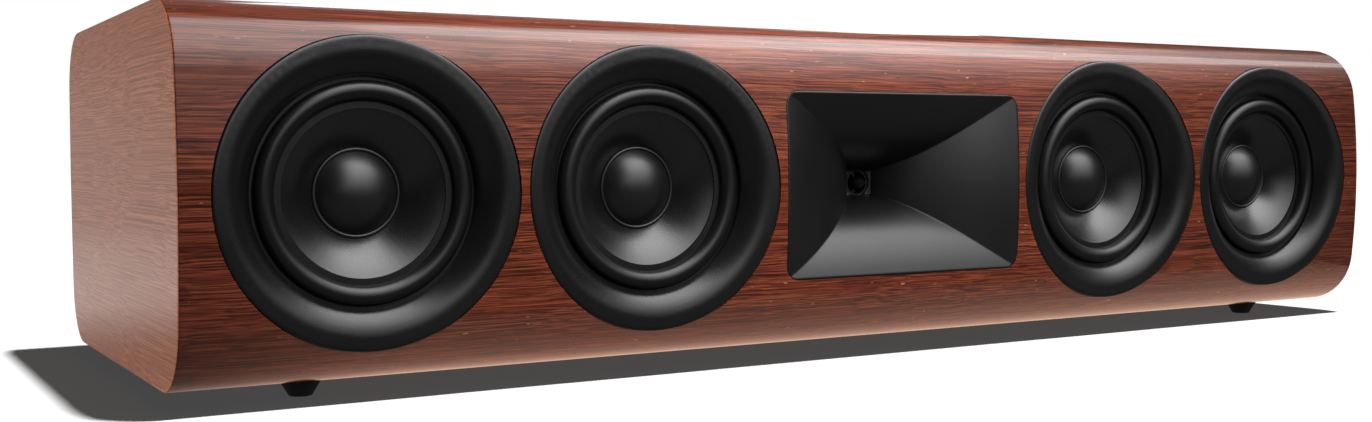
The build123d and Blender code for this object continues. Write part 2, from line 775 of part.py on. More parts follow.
# Compression driver: a sealed can behind the throat, its phase plug, rear cover and bolts
with BuildPart() as driver_body:
    with BuildSketch(facing(horn_back)):
        Circle(driver_radius)
    extrude(amount=-driver_plate)
    with BuildSketch(facing(horn_back + driver_plate)):
        Circle(driver_can_radius)
    extrude(amount=-driver_can_length)
    with BuildSketch(facing(horn_back)):
        Circle(throat_radius)
    extrude(amount=-driver_plate, mode=Mode.SUBTRACT)
    with BuildSketch(facing(horn_back)):
        with PolarLocations(bolt_circle, driver_bolts_count, start_angle=45):
            Circle(bolt_radius + pilot_gap)
    extrude(amount=-(bolt_grip + pilot_gap), mode=Mode.SUBTRACT)

with BuildPart() as driver_cover:
    cover_depth = horn_back + driver_plate + driver_can_length
    with BuildSketch(facing(cover_depth)):
        Circle(driver_can_radius)
    extrude(amount=-driver_cover_length)
    fillet(driver_cover.edges().group_by(Axis.Y)[-1], driver_cover_round)
    with BuildSketch(facing(cover_depth)):
        Circle(driver_can_radius - driver_cover_wall)
    extrude(amount=-(driver_cover_length - driver_cover_wall), mode=Mode.SUBTRACT)

with BuildPart() as phase_plug:
    plug_base = horn_back + driver_plate
    with BuildSketch(section_plane):
        with BuildLine():
            Line((0, plug_base), (plug_radius, plug_base))
            Line((plug_radius, plug_base), (plug_radius, plug_base - plug_length))
            Spline((plug_radius, plug_base - plug_length), (0, plug_base - plug_length - plug_nose),
                   tangents=((0, -1), (-1, -1)))
            Line((0, plug_base - plug_length - plug_nose), (0, plug_base))
        make_face()
    revolve(axis=driver_axis)
    with BuildSketch(facing(plug_base)):
        Circle(plug_ring_radius)
        Circle(plug_ring_radius - plug_ring_wall, mode=Mode.SUBTRACT)
        with PolarLocations((plug_radius + plug_ring_radius - plug_ring_wall) / 2, plug_fins):
            Rectangle(plug_ring_radius - plug_radius, plug_fin)
    extrude(amount=plug_length)

with BuildPart() as driver_bolts:
    with BuildSketch(facing(horn_back - collar_thickness)):
        with PolarLocations(bolt_circle, driver_bolts_count, start_angle=45):
            Circle(bolt_head_radius)
    extrude(amount=bolt_head_height)
    with BuildSketch(facing(horn_back - collar_thickness)):
        with PolarLocations(bolt_circle, driver_bolts_count, start_angle=45):
            Circle(bolt_radius)
    extrude(amount=-(collar_thickness + bolt_grip))

# Bass port: a tube with a flared mouth and a flange let into the back
with BuildPart() as port:
    port_plane = Plane(origin=(0, back_y - rear_inset, centre_z), x_dir=(1, 0, 0), z_dir=(0, 0, -1))
    with BuildSketch(port_plane):
        with BuildLine():
            RadiusArc((port_radius + port_flare, 0), (port_radius, port_flare), port_flare)
            Polyline(
                (port_radius, port_flare),
                (port_radius, port_length),
                (port_radius + port_wall, port_length),
                (port_radius + port_wall, port_flange_thickness),
                (port_flange_radius, port_flange_thickness),
                (port_flange_radius, 0),
                (port_radius + port_flare, 0),
            )
        make_face()
    revolve(axis=Axis((0, 0, centre_z), (0, 1, 0)))

# Terminal cup in the back, with two binding posts at the usual pitch
with BuildPart() as terminal_cup:
    cup_body_depth = rear_inset + cup_depth + cup_wall
    with BuildSketch(rear_facing(rear_inset)):
        RectangleRounded(
            cup_width + 2 * (cup_wall + cup_flange),
            cup_height + 2 * (cup_wall + cup_flange),
            cup_corner_radius + cup_wall,
        )
    extrude(amount=-cup_flange_thickness)
    with BuildSketch(rear_facing(rear_inset)):
        RectangleRounded(cup_width + 2 * cup_wall, cup_height + 2 * cup_wall, cup_corner_radius + cup_wall)
    extrude(amount=-(cup_depth + cup_wall))
    with BuildSketch(rear_facing(rear_inset)):
        RectangleRounded(cup_width, cup_height, cup_corner_radius)
    extrude(amount=-cup_depth, mode=Mode.SUBTRACT)
    with BuildSketch(rear_facing(cup_body_depth)):
        with GridLocations(post_pitch, 0, 2, 1):
            Circle(post_radius + pilot_gap)
    extrude(amount=cup_wall, mode=Mode.SUBTRACT)
    with Locations(rear_facing(rear_inset)):
        with GridLocations(cup_screw_columns, cup_screw_rows, 2, 2):
            CounterSinkHole(
                radius=cup_screw_radius + pilot_gap,
                counter_sink_radius=cup_screw_head_radius + pilot_gap,
                depth=2 * cup_flange_thickness,
                counter_sink_angle=90,
            )

with BuildPart() as terminal_screws:
    cup_head_height = cup_screw_head_radius - cup_screw_radius
    with BuildSketch(rear_facing(rear_inset)):
        with GridLocations(cup_screw_columns, cup_screw_rows, 2, 2):
            Circle(cup_screw_radius)
    extrude(amount=-cup_screw_length)
    with Locations(rear_facing(rear_inset + cup_head_height / 2)):
        with GridLocations(cup_screw_columns, cup_screw_rows, 2, 2):
            Cone(bottom_radius=cup_screw_radius, top_radius=cup_screw_head_radius, height=cup_head_height)

with BuildPart() as terminal_studs:
    cup_floor = rear_facing(rear_inset + cup_depth)
    with BuildSketch(cup_floor):
        with GridLocations(post_pitch, 0, 2, 1):
            Circle(post_radius)
    extrude(amount=post_length)
    extrude(terminal_studs.faces().sort_by(Axis.Y)[:2], amount=cup_wall + post_tail)
    with BuildSketch(cup_floor):
        with GridLocations(post_pitch, 0, 2, 1):
            Circle(post_collar_radius)
    extrude(amount=post_collar_height)
    with BuildSketch(rear_facing(cup_body_depth)):
        with GridLocations(post_pitch, 0, 2, 1):
            RegularPolygon(post_nut_width / 2, 6, major_radius=False)
    extrude(amount=-post_nut_height)
    with BuildSketch(cup_floor.offset(post_length)):
        with GridLocations(post_pitch, 0, 2, 1):
            Circle(post_bore_radius)
    extrude(amount=-post_bore_depth, mode=Mode.SUBTRACT)

# Binding post knob: a ribbed sleeve that turns on the stud
with BuildPart() as knob:
    knob_seat = cup_floor.offset(post_collar_height + knob_seat_gap)
    with BuildSketch(knob_seat):
        Circle(knob_radius)
    extrude(amount=knob_length)
    chamfer(knob.edges().group_by(Axis.Y)[-1], knob_edge)
    with BuildSketch(knob_seat):
        Circle(post_radius + knob_fit)
        with PolarLocations(knob_radius, knob_grooves):
            Circle(knob_groove_radius)
    extrude(amount=knob_length, mode=Mode.SUBTRACT)

# Crossover: a board on spacers on the cabinet's floor, behind the compression driver
floor_z = foot_height + wall
board_z = floor_z + spacer_height
board_y = front_y + baffle + cavity_depth / 2 + board_setback - board_depth / 2
with BuildPart() as crossover_board:
    with BuildSketch(Plane(origin=(0, board_y, board_z), z_dir=(0, 0, 1))):
        Rectangle(board_width, board_depth)
    extrude(amount=board_thickness)
with BuildPart() as crossover_spacers:
    with BuildSketch(Plane(origin=(0, board_y, floor_z), z_dir=(0, 0, 1))):
        with GridLocations(board_width - 2 * board_margin, board_depth - 2 * board_margin, 2, 2):
            Circle(spacer_radius)
    extrude(amount=spacer_height)
with BuildPart() as crossover_coils:
    with BuildSketch(Plane(origin=(0, board_y + board_depth / 2 - board_margin - inductor_radius,
                                   board_z + board_thickness), z_dir=(0, 0, 1))):
        with GridLocations(inductor_pitch, 0, 3, 1):
            Circle(inductor_radius)
            Circle(inductor_bore_radius, mode=Mode.SUBTRACT)
    extrude(amount=inductor_height)
with BuildPart() as crossover_capacitors:
    capacitor_y = board_y - board_depth / 2 + board_margin + capacitor_radius
    with BuildSketch(Plane(origin=(0, capacitor_y, board_z + board_thickness + capacitor_radius),
                           x_dir=(0, 1, 0), z_dir=(1, 0, 0))):
        Circle(capacitor_radius)
    extrude(amount=capacitor_length / 2, both=True)
    capacitor = crossover_capacitors.part
    with Locations((-capacitor_pitch, 0, 0), (capacitor_pitch, 0, 0)):
        add(capacitor)

# Every piece to its own file
save(cabinet_shell.part, "cabinet_shell")
save(left_end_panel.part, "left_end_panel")
save(right_end_panel.part, "right_end_panel")
save(brace_left.part, "brace_left")
save(brace_right.part, "brace_right")
for row, y in foot_rows.items():
    for column, x in foot_columns.items():
        save(foot.part.moved(Location((x, y, 0))), f"foot_{row}_{column}")
save(foot_screws.part, "foot_screws")
save_at_woofers(trim_ring.part, "trim_ring")
save_at_woofers(basket.part, "basket")
save_at_woofers(surround.part, "surround")
save_at_woofers(cone.part, "cone")
save_at_woofers(dust_cap.part, "dust_cap")
save_at_woofers(voice_coil.part, "voice_coil")
save_at_woofers(spider.part, "spider")
save(woofer_top_plates.part, "woofer_top_plates")
save(woofer_magnets.part, "woofer_magnets")
save(woofer_yokes.part, "woofer_yokes")
save(woofer_screws.part, "woofer_screws")
save(horn.part, "horn")
save(horn_screws.part, "horn_screws")
save(phase_plug.part, "phase_plug")
save(driver_body.part, "driver_body")
save(driver_cover.part, "driver_cover")
save(driver_bolts.part, "driver_bolts")
save(port.part.moved(Location((-port_offset, 0, 0))), "port_left")
save(port.part.moved(Location((port_offset, 0, 0))), "port_right")
save(terminal_cup.part, "terminal_cup")
save(terminal_screws.part, "terminal_screws")
save(terminal_studs.part, "terminal_studs")
save(knob.part.moved(Location((-post_pitch / 2, 0, 0))), "terminal_knob_red")
save(knob.part.moved(Location((post_pitch / 2, 0, 0))), "terminal_knob_black")
save(crossover_board.part, "crossover_board")
save(crossover_spacers.part, "crossover_spacers")
save(crossover_coils.part, "crossover_coils")
save(crossover_capacitors.part, "crossover_capacitors")
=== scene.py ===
"""Looks for a long center channel speaker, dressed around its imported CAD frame.

Metres, +Z up, the front faces -Y, as in the CAD frame. Sections of turned pieces are in millimetres.
"""

import json
import logging
import math
from dataclasses import dataclass, field
from enum import Enum

import bpy
import numpy as np
from mathutils import Matrix, Vector

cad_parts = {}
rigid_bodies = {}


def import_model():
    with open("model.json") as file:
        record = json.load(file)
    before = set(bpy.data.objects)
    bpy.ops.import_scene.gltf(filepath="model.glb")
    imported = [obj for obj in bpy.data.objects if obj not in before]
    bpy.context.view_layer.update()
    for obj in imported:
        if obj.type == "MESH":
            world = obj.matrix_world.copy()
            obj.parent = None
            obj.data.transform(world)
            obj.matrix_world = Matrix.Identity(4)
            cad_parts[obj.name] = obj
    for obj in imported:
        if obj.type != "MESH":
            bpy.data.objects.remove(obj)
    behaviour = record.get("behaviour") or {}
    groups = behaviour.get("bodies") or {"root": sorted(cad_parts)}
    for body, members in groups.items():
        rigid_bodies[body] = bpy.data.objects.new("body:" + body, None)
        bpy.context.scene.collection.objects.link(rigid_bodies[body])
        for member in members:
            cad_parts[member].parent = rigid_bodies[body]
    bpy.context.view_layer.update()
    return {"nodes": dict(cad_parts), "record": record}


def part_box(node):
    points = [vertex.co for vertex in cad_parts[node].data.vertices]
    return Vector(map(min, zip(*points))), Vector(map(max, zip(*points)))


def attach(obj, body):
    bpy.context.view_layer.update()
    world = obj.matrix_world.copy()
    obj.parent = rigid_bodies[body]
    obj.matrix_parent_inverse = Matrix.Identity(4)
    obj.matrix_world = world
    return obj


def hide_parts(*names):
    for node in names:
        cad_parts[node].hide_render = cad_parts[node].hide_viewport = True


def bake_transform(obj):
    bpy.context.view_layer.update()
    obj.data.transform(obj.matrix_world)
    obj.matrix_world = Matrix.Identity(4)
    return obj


log = logging.getLogger("center_channel_speaker")

Socket = bpy.types.NodeSocket
Piece = bpy.types.Object
Triple = tuple[float, float, float]
Colour = tuple[float, float, float]
Pair = tuple[float, float]
Span = tuple[float, float, float, float]
Section = list[Pair]
Stops = list[tuple[float, Colour]]

FRONT_Y = -0.1575
CENTRE_Z = 0.10555
MM = 0.001
WHITE = (1.0, 1.0, 1.0)

# A turned piece starts as a small plane, and its doubled points are merged within this distance.
SEED_SIZE = 0.001
MERGE_DISTANCE = 1e-6
SMOOTH_ANGLE = math.radians(38)

# Most of a noise's values lie in the first span, and nearly all in the second.
NOISE_MIDDLE = 0.5
NOISE_CORE = (0.35, 0.65)
NOISE_WIDE = (0.3, 0.7)

# Rays that feel for an eased edge.
EDGE_SAMPLES = 6

# Numbers of the Mix node's colour sockets, whose names are shared with other sockets.
MIX_FIRST = 6
MIX_SECOND = 7
MIX_RESULT = 2


class Place(Enum):
    """The four woofers, with the X of each one's axis in metres."""

    OUTER_LEFT = -0.3412
    INNER_LEFT = -0.1761
    INNER_RIGHT = 0.1761
    OUTER_RIGHT = 0.3412

    @property
    def tag(self) -> str:
        """Ending of the names of this woofer's nodes."""
        return self.name.lower()


class GrainRun(Enum):
    """Way that a veneer's grain runs, as the turn that lays it along X."""

    ALONG_THE_CABINET = 0.0
    FRONT_TO_BACK = 90.0


class NodeBoard:
    """Short calls that lay out the nodes of one tree."""

    def __init__(self, tree: bpy.types.NodeTree) -> None:
        """Take a tree.

        Args:
            tree: Tree that gets the nodes.
        """
        self.tree = tree

    def add(self, kind: str, **settings: object) -> bpy.types.Node:
        """Add a node.

        Args:
            kind: Blender's name of the node type.
            **settings: Attributes of the node.

        Returns:
            The new node.
        """
        node = self.tree.nodes.new(kind)
        for key, value in settings.items():
            setattr(node, key, value)
        return node

    def feed(self, target: Socket, value: object) -> None:
        """Link a socket, or write a number or colour on it.

        Args:
            target: Input that is fed.
            value: A socket, a number or a colour.
        """
        if isinstance(value, bpy.types.NodeSocket):
            self.tree.links.new(value, target)
        elif isinstance(value, tuple) and target.type == "RGBA":
            target.default_value = (*value, 1.0)
        else:
            target.default_value = value

    def axes(self, vector: Socket) -> bpy.types.NodeOutputs:
        """Split a vector.

        Args:
            vector: Vector that is split.

        Returns:
            Its parts, named X, Y and Z.
        """
        node = self.add("ShaderNodeSeparateXYZ")
        self.feed(node.inputs["Vector"], vector)
        return node.outputs

    def noise(self, vector: Socket, scale: float = 1.0, detail: float = 2.0, rough: float = 0.5) -> Socket:
        """Noise value at a vector.

        Args:
            vector: Where the noise is read.
            scale: Number of lumps in a unit of the vector.
            detail: Octaves.
            rough: Strength of the finer octaves.

        Returns:
            The value, about 0.5 in the middle.
        """
        node = self.add("ShaderNodeTexNoise")
        self.feed(node.inputs["Vector"], vector)
        self.feed(node.inputs["Scale"], scale)
        self.feed(node.inputs["Detail"], detail)
        self.feed(node.inputs["Roughness"], rough)
        return node.outputs["Fac"]

    def spread(self, value: Socket, low: float, high: float, to_low: float = 0.0, to_high: object = 1.0,
               way: str = "SMOOTHSTEP") -> Socket:
        """Map a value from one span to another, clamped.

        Args:
            value: Value that is mapped.
            low: Start of its span.
            high: End of its span.
            to_low: Result at the start.
            to_high: Result at the end, a number or a socket.
            way: Interpolation.

        Returns:
            The mapped value.
        """
        node = self.add("ShaderNodeMapRange", interpolation_type=way)
        self.feed(node.inputs["Value"], value)
        self.feed(node.inputs["From Min"], low)
        self.feed(node.inputs["From Max"], high)
        self.feed(node.inputs["To Min"], to_low)
        self.feed(node.inputs["To Max"], to_high)
        return node.outputs["Result"]

    def ramp(self, value: Socket, stops: Stops) -> Socket:
        """Colour ramp.

        Args:
            value: Value that picks the colour.
            stops: Places and colours.

        Returns:
            The colour.
        """
        node = self.add("ShaderNodeValToRGB")
        self.feed(node.inputs["Fac"], value)
        elements = node.color_ramp.elements
        while len(elements) < len(stops):
            elements.new(0.5)
        for element, (place, colour) in zip(elements, stops):
            element.position = place
            element.color = (*colour, 1.0)
        return node.outputs["Color"]

    def mix(self, share: object, first: object, second: object) -> Socket:
        """Mix two colours.

        Args:
            share: Share of the second one.
            first: Colour or socket.
            second: Colour or socket.

        Returns:
            The mixed colour.
        """
        node = self.add("ShaderNodeMix", data_type="RGBA")
        self.feed(node.inputs["Factor"], share)
        self.feed(node.inputs[MIX_FIRST], first)
        self.feed(node.inputs[MIX_SECOND], second)
        return node.outputs[MIX_RESULT]

    def maths(self, way: str, *values: object) -> Socket:
        """One math step.

        Args:
            way: Operation.
            *values: Sockets or numbers, in the order of the node's inputs.

        Returns:
            The result.
        """
        node = self.add("ShaderNodeMath", operation=way)
        for target, value in zip(node.inputs, values):
            self.feed(target, value)
        return node.outputs[0]


class MaterialBoard(NodeBoard):
    """One material with a Principled shader."""

    def __init__(self, name: str) -> None:
        """Start a material.

        Args:
            name: Name of the material.
        """
        self.material = bpy.data.materials.new(name)
        self.material.use_nodes = True
        super().__init__(self.material.node_tree)
        self.shader = self.tree.nodes["Principled BSDF"]

    def set(self, **values: object) -> None:
        """Feed inputs of the Principled shader, with underscores for the spaces in their names."""
        for name, value in values.items():
            self.feed(self.shader.inputs[name.replace("_", " ")], value)

    def place(self, scale: Triple = (1.0, 1.0, 1.0), turn: Triple = (0.0, 0.0, 0.0)) -> Socket:
        """Object coordinates, turned and then stretched.

        Args:
            scale: Scale on each axis.
            turn: Turn about each axis in degrees.

        Returns:
            The mapped vector.
        """
        coordinate = self.add("ShaderNodeTexCoord")
        turned = self.add("ShaderNodeMapping")
        turned.inputs["Rotation"].default_value = [math.radians(angle) for angle in turn]
        self.feed(turned.inputs["Vector"], coordinate.outputs["Object"])
        return self.stretch(turned.outputs["Vector"], scale)

    def stretch(self, vector: Socket, scale: Triple) -> Socket:
        """Scale a vector.

        Args:
            vector: Vector that is scaled.
            scale: Scale on each axis.

        Returns:
            The scaled vector.
        """
        node = self.add("ShaderNodeMapping")
        self.feed(node.inputs["Vector"], vector)
        self.feed(node.inputs["Scale"], scale)
        return node.outputs["Vector"]

    def bump(self, height: Socket, strength: float, distance: float, eased: float = 0.0) -> None:
        """Raise the shader's normal by a height.

        Args:
            height: Height from 0 to 1.
            strength: Share of the bump that shows.
            distance: Height of a full step in metres.
            eased: Radius in metres by which sharp edges look rounded.
        """
        node = self.add("ShaderNodeBump")
        self.feed(node.inputs["Strength"], strength)
        self.feed(node.inputs["Distance"], distance)
        self.feed(node.inputs["Height"], height)
        if eased:
            edge = self.add("ShaderNodeBevel", samples=EDGE_SAMPLES)
            self.feed(edge.inputs["Radius"], eased)
            self.feed(node.inputs["Normal"], edge.outputs["Normal"])
        self.feed(self.shader.inputs["Normal"], node.outputs["Normal"])


@dataclass(frozen=True)
class Veneer:
    """Lacquered reddish-brown veneer with dark streaks and open pores.

    The scales are lumps to the metre, along the grain and across it. A shade is the span of a noise in which
    a tone comes in, and its share at both ends of the span.
    """

    name: str
    run: GrainRun
    dark: Colour
    deep: Colour
    middle: Colour
    light: Colour
    wave: float
    reach: float = 1.0
    ripple: float = 0.0022
    gloss: float = 0.08
    roughness: float = 0.30
    roughness_span: float = 0.10
    lacquer: float = 0.76
    lacquer_roughness: float = 0.10
    sway_scale: Triple = (2.6, 9.0, 9.0)
    ripple_scale: Triple = (26.0, 40.0, 40.0)
    streak_scale: Triple = (13.0, 1450.0, 1450.0)
    fibre_scale: Triple = (27.0, 2700.0, 2700.0)
    cloud_scale: Triple = (2.2, 34.0, 34.0)
    pore_scale: Triple = (105.0, 1700.0, 1700.0)
    fleck_scale: Triple = (170.0, 900.0, 900.0)
    streak_steps: Span = (0.37, 0.455, 0.545, 0.64)
    cloud_shade: Span = (0.38, 0.62, 0.0, 0.34)
    dark_shade: Span = (0.56, 0.72, 0.0, 0.62)
    light_shade: Span = (0.44, 0.28, 0.0, 0.45)
    pore_edge: Pair = (0.66, 0.74)
    fleck_shade: Span = (0.82, 0.88, 0.0, 0.5)
    fleck_tint: Colour = (0.55, 0.28, 0.16)
    relief: float = 0.012
    relief_height: float = 0.00025
    pore_tone: float = 0.75
    pore_depth: float = 0.6

    @property
    def turn(self) -> Triple:
        """Turn in degrees that lays the grain along X."""
        return (0.0, 0.0, self.run.value)

    def sway(self, board: MaterialBoard, scale: Triple, detail: float, amount: float) -> Socket:
        """How far the grain strays from a straight line.

        Args:
            board: Board of the material.
            scale: Scale of the straying.
            detail: Octaves.
            amount: Width of the straying in metres.

        Returns:
            The distance, about zero in the middle.
        """
        noise = board.noise(board.place(scale, self.turn), detail=detail)
        return board.maths("MULTIPLY", board.maths("SUBTRACT", noise, NOISE_MIDDLE), amount)

    def along(self, board: MaterialBoard, drift: Socket, scale: Triple) -> Socket:
        """Stretched coordinates that follow the sway of the grain.

        Args:
            board: Board of the material.
            drift: How far the grain strays, as a vector.
            scale: Scale on each axis.

        Returns:
            The coordinates.
        """
        moved = board.add("ShaderNodeVectorMath", operation="ADD")
        board.feed(moved.inputs[0], board.place(turn=self.turn))
        board.feed(moved.inputs[1], drift)
        return board.stretch(moved.outputs["Vector"], (scale[0] / self.reach, scale[1], scale[2]))

    def make(self) -> bpy.types.Material:
        """Build the material.

        Returns:
            The veneer, its grain laid along the way that it runs.
        """
        board = MaterialBoard(self.name)
        broad = self.sway(board, self.sway_scale, detail=2.0, amount=self.wave)
        small = self.sway(board, self.ripple_scale, detail=1.0, amount=self.ripple)
        stray = board.maths("ADD", broad, small)
        lift = board.add("ShaderNodeCombineXYZ")
        board.feed(lift.inputs["Y"], stray)
        board.feed(lift.inputs["Z"], stray)
        drift = lift.outputs["Vector"]
        streak = board.noise(self.along(board, drift, self.streak_scale), detail=2.0, rough=0.6)
        fibre = board.noise(self.along(board, drift, self.fibre_scale), detail=1.0, rough=0.55)
        cloud = board.noise(self.along(board, drift, self.cloud_scale), detail=2.0)
        pore = board.noise(self.along(board, drift, self.pore_scale), detail=1.0)
        fleck = board.noise(self.along(board, drift, self.fleck_scale), detail=0.0)
        open_pore = board.spread(pore, *self.pore_edge)
        tones = (self.dark, self.deep, self.middle, self.light)
        base = board.ramp(streak, list(zip(self.streak_steps, tones)))
        base = board.mix(board.spread(cloud, *self.cloud_shade), base, self.deep)
        base = board.mix(board.spread(fibre, *self.dark_shade), base, self.dark)
        base = board.mix(board.spread(fibre, *self.light_shade), base, self.light)
        base = board.mix(board.maths("MULTIPLY", open_pore, self.pore_tone), base, self.dark)
        base = board.mix(board.spread(fleck, *self.fleck_shade), base, self.fleck_tint)
        board.set(Base_Color=base, Specular_IOR_Level=self.gloss)
        board.set(Coat_Weight=self.lacquer, Coat_Roughness=self.lacquer_roughness)
        roughest = self.roughness + self.roughness_span
        board.set(Roughness=board.spread(fibre, *NOISE_WIDE, self.roughness, roughest))
        height = board.maths("SUBTRACT", fibre, board.maths("MULTIPLY", open_pore, self.pore_depth))
        board.bump(height, self.relief, self.relief_height)
        return board.material


@dataclass(frozen=True)
class SatinFinish:
    """Moulding, paint or rubber with a fine grain and slight unevenness of its sheen."""

    name: str
    tint: Colour
    roughness: float
    grain: float
    bump: float
    specular: float = 0.5
    coat: float = 0.0
    eased: float = 0.0
    paler: float = 1.35
    coat_roughness: float = 0.12
    fine_sheen: float = 0.02
    broad_sheen: float = 0.015
    broad_scale: float = 14.0
    grain_height: float = 0.0002

    def make(self) -> bpy.types.Material:
        """Build the material.

        Returns:
            The satin finish.
        """
        board = MaterialBoard(self.name)
        fine = board.noise(board.place(), self.grain, detail=2.0, rough=0.6)
        broad = board.noise(board.place(), self.broad_scale, detail=3.0)
        paler = tuple(part * self.paler for part in self.tint)
        board.set(Base_Color=board.mix(board.spread(broad, *NOISE_CORE), self.tint, paler))
        fine_part = board.spread(fine, *NOISE_WIDE, -self.fine_sheen, self.fine_sheen)
        broad_part = board.spread(broad, *NOISE_CORE, -self.broad_sheen, self.broad_sheen)
        uneven = board.maths("ADD", fine_part, broad_part)
        board.set(Roughness=board.maths("ADD", uneven, self.roughness), Specular_IOR_Level=self.specular)
        board.set(Coat_Weight=self.coat, Coat_Roughness=self.coat_roughness)
        board.bump(fine, self.bump, self.grain_height, self.eased)
        return board.material


@dataclass(frozen=True)
class PlainMetal:
    """Plated, cast or wound metal with fine turning or casting marks."""

    name: str
    tint: Colour
    roughness: float
    marks: Triple
    bump: float = 0.08
    darker: float = 0.72
    smoother: float = 0.05
    rougher: float = 0.08
    mark_height: float = 0.0001

    def make(self) -> bpy.types.Material:
        """Build the material.

        Returns:
            The metal.
        """
        board = MaterialBoard(self.name)
        mark = board.noise(board.place(self.marks), detail=3.0, rough=0.6)
        darker = tuple(part * self.darker for part in self.tint)
        board.set(Base_Color=board.mix(board.spread(mark, *NOISE_CORE), self.tint, darker), Metallic=1.0)
        smoothest = self.roughness - self.smoother
        roughest = self.roughness + self.rougher
        board.set(Roughness=board.spread(mark, *NOISE_WIDE, smoothest, roughest))
        board.bump(mark, self.bump, self.mark_height)
        return board.material


@dataclass(frozen=True)
class SpeckledStock:
    """Board, laminate, cloth, ceramic or film: a base colour with a second one speckled through it."""

    name: str
    tint: Colour
    speck: Colour
    grain: float
    roughness: float
    bump: float = 0.2
    speck_span: Pair = (0.4, 0.64)
    unevenness: float = 0.06
    grain_height: float = 0.0002

    def make(self) -> bpy.types.Material:
        """Build the material.

        Returns:
            The speckled finish.
        """
        board = MaterialBoard(self.name)
        fine = board.noise(board.place(), self.grain, detail=3.0, rough=0.65)
        board.set(Base_Color=board.mix(board.spread(fine, *self.speck_span), self.tint, self.speck))
        smoothest = self.roughness - self.unevenness
        roughest = self.roughness + self.unevenness
        board.set(Roughness=board.spread(fine, *NOISE_WIDE, smoothest, roughest))
        board.bump(fine, self.bump, self.grain_height)
        return board.material


@dataclass
class FinishBook:
    """Every finish of the speaker, by the record's material slot."""

    made: dict[str, bpy.types.Material] = field(default_factory=dict)

    def open(self) -> None:
        """Make the finishes."""
        self.made["veneer"] = Veneer(
            "veneer_front", GrainRun.ALONG_THE_CABINET, (0.018, 0.0045, 0.0030), (0.062, 0.0115, 0.0055),
            (0.120, 0.0247, 0.0106), (0.186, 0.0485, 0.0214), wave=0.010).make()
        # The end veneer's tones are several times paler than the front's. This is partly the wood's own tone
        # and partly painted light, standing in for the side light and floor bounce that brighten the end
        # faces.
        self.made["veneer_end"] = Veneer(
            "veneer_end", GrainRun.FRONT_TO_BACK, (0.230, 0.072, 0.033), (0.320, 0.104, 0.049),
            (0.410, 0.140, 0.067), (0.500, 0.195, 0.096),
            wave=0.020, reach=7.0, ripple=0.0012, gloss=0.18).make()
        satins = [
            SatinFinish("black_moulding", (0.0022, 0.0022, 0.0023), 0.29, 2600.0, 0.10, 0.68),
            SatinFinish("horn_black", (0.0018, 0.0018, 0.0019), 0.34, 2600.0, 0.08, 0.72, eased=0.0014),
            SatinFinish("surround_rubber", (0.0020, 0.0020, 0.0021), 0.32, 1900.0, 0.08, 0.6),
            SatinFinish("cone_black", (0.0018, 0.0018, 0.0019), 0.27, 1500.0, 0.03, 1.0),
            SatinFinish("cap_black", (0.0020, 0.0020, 0.0021), 0.34, 1500.0, 0.08, 0.9),
            SatinFinish("plug_grey", (0.009, 0.009, 0.0095), 0.34, 2600.0, 0.06),
            SatinFinish("driver_black", (0.012, 0.012, 0.012), 0.42, 1800.0, 0.10),
            SatinFinish("foot_rubber", (0.0065, 0.0065, 0.0065), 0.55, 1700.0, 0.16, 0.35),
            SatinFinish("knob_black", (0.010, 0.010, 0.011), 0.28, 900.0, 0.05, coat=0.7),
            SatinFinish("knob_red", (0.36, 0.012, 0.014), 0.28, 900.0, 0.05, coat=0.7),
            SatinFinish("basket_metal", (0.013, 0.013, 0.014), 0.50, 1200.0, 0.25),
        ]
        metals = [
            PlainMetal("coil_copper", (0.62, 0.28, 0.14), 0.30, (300, 2600, 300)),
            PlainMetal("steel", (0.55, 0.55, 0.56), 0.34, (900, 900, 900)),
            PlainMetal("black_screws", (0.050, 0.050, 0.052), 0.40, (1600, 1600, 1600)),
            PlainMetal("post_gold", (0.78, 0.55, 0.22), 0.20, (300, 2200, 300)),
        ]
        stocks = [
            SpeckledStock("board", (0.42, 0.30, 0.19), (0.30, 0.20, 0.12), 900.0, 0.85),
            SpeckledStock("spider_cloth", (0.52, 0.38, 0.15), (0.38, 0.26, 0.09), 1800.0, 0.80),
            SpeckledStock("ferrite", (0.055, 0.055, 0.060), (0.085, 0.085, 0.090), 1200.0, 0.62),
            SpeckledStock("circuit_board", (0.035, 0.13, 0.06), (0.025, 0.10, 0.045), 700.0, 0.45),
            SpeckledStock("capacitor_film", (0.62, 0.42, 0.06), (0.55, 0.36, 0.05), 260.0, 0.30),
        ]
        for finish in [*satins, *metals, *stocks]:
            self.made[finish.name] = finish.make()

    def dress(self, piece: Piece, slot: str) -> None:
        """Give a piece its finish.

        Args:
            piece: Piece that is dressed.
            slot: Name of the finish.
        """
        piece.data.materials.clear()
        piece.data.materials.append(self.made[slot])


@dataclass
class Cabinet:
    """The veneered cabinet, which keeps its CAD solids and gets its two veneers."""

    shell: str = "cabinet_shell"
    ends: tuple[str, str] = ("left_end_panel", "right_end_panel")

    def dress(self, nodes: dict[str, Piece], finishes: FinishBook) -> None:
        """Lay the veneers.

        Args:
            nodes: CAD nodes by name.
            finishes: The speaker's finishes.
        """
        finishes.dress(nodes[self.shell], "veneer")
        # The ends get the paler veneer, whose extra brightness is partly painted light.
        for name in self.ends:
            finishes.dress(nodes[name], "veneer_end")
        log.info("cabinet veneered")

    def pieces(self, nodes: dict[str, Piece]) -> list[Piece]:
        """The veneered pieces."""
        return [nodes[name] for name in (self.shell, *self.ends)]


